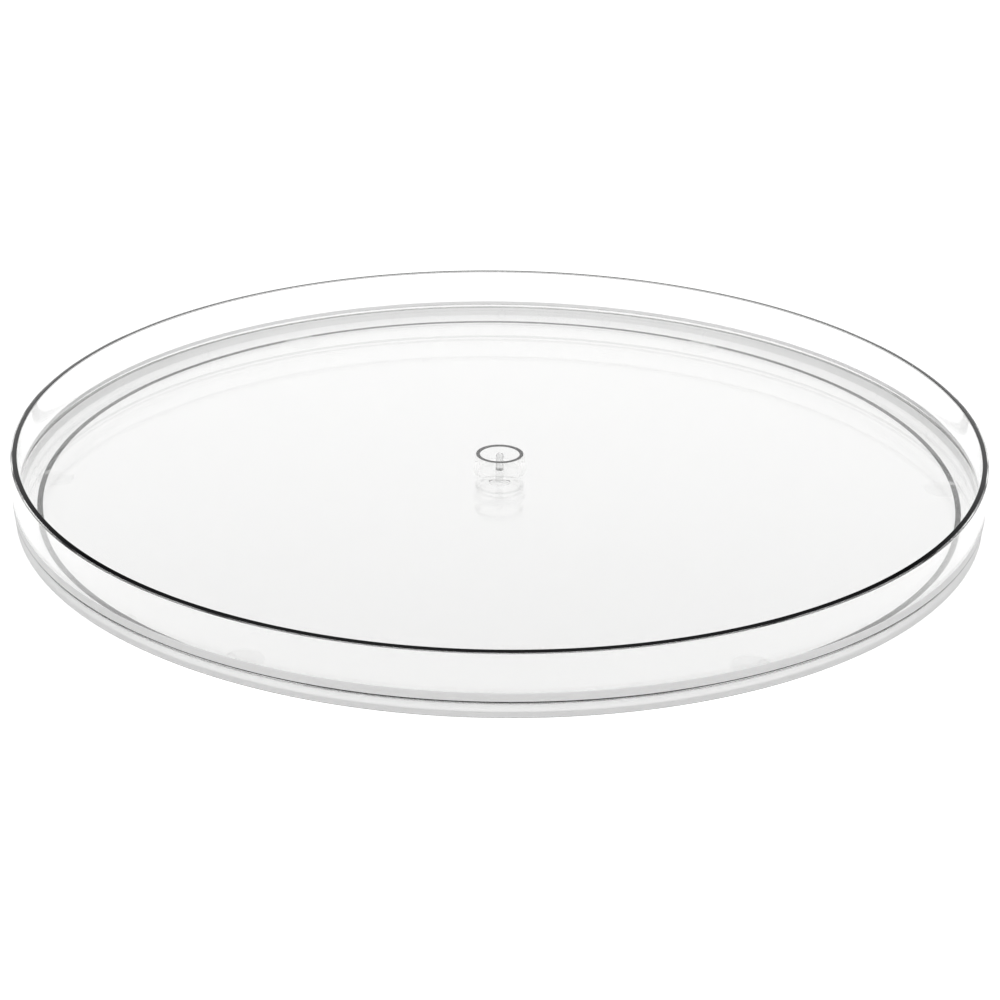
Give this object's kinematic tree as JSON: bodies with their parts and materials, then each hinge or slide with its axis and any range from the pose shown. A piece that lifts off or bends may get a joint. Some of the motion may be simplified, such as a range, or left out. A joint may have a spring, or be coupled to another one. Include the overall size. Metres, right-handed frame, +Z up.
{
  "type": "lazy susan turntable",
  "caption": "Round clear plastic turntable: a rimmed tray with a small low ring in its middle turns on a low clear base, on a ring of clear balls.",
  "frame": {"origin": "on the table, under the centre of the hub, at the bottom of the feet", "axes": "+Z up along the axis that the tray turns on; +X towards the first ball and the first foot; the shape is the same in every horizontal direction apart from the balls and feet"},
  "size_m": [0.305, 0.305, 0.0207],
  "materials": {
    "clear_tray": "crystal-clear moulded plastic, polished",
    "clear_base": "crystal-clear moulded plastic, polished",
    "clear_retainer": "clear moulded plastic",
    "clear_ball": "clear polished plastic",
    "clear_pin": "clear to milky moulded plastic, polished tip",
    "clip_nylon": "natural translucent nylon",
    "clear_foot": "clear soft silicone, satin"
  },
  "bodies": {
    "base": {"base_plate": "clear_base", "center_post": "clear_base", "pivot_pin": "clear_pin", "retaining_clip": "clip_nylon", "foot_pad_1": "clear_foot", "foot_pad_2": "clear_foot", "foot_pad_3": "clear_foot", "foot_pad_4": "clear_foot", "foot_pad_5": "clear_foot", "foot_pad_6": "clear_foot"},
    "tray": {"turntable_tray": "clear_tray"},
    "retainer": {"ball_retainer": "clear_retainer", "bearing_ball_01": "clear_ball", "bearing_ball_02": "clear_ball", "bearing_ball_03": "clear_ball", "bearing_ball_04": "clear_ball", "bearing_ball_05": "clear_ball", "bearing_ball_06": "clear_ball", "bearing_ball_07": "clear_ball", "bearing_ball_08": "clear_ball", "bearing_ball_09": "clear_ball", "bearing_ball_10": "clear_ball", "bearing_ball_11": "clear_ball", "bearing_ball_12": "clear_ball", "bearing_ball_13": "clear_ball", "bearing_ball_14": "clear_ball", "bearing_ball_15": "clear_ball", "bearing_ball_16": "clear_ball", "bearing_ball_17": "clear_ball", "bearing_ball_18": "clear_ball", "bearing_ball_19": "clear_ball", "bearing_ball_20": "clear_ball", "bearing_ball_21": "clear_ball", "bearing_ball_22": "clear_ball", "bearing_ball_23": "clear_ball", "bearing_ball_24": "clear_ball"}
  },
  "joints": [
    {"name": "tray_spin", "type": "hinge", "parent": "base", "child": "tray", "pos_m": [0, 0, 0.0054], "axis": [0, 0, 1], "continuous": true},
    {"name": "retainer_orbit", "type": "hinge", "parent": "base", "child": "retainer", "pos_m": [0, 0, 0.0037], "axis": [0, 0, 1], "continuous": true}
  ],
  "couplings": [
    {"joint": "retainer_orbit", "follows": "tray_spin", "ratio": 0.5}
  ]
}
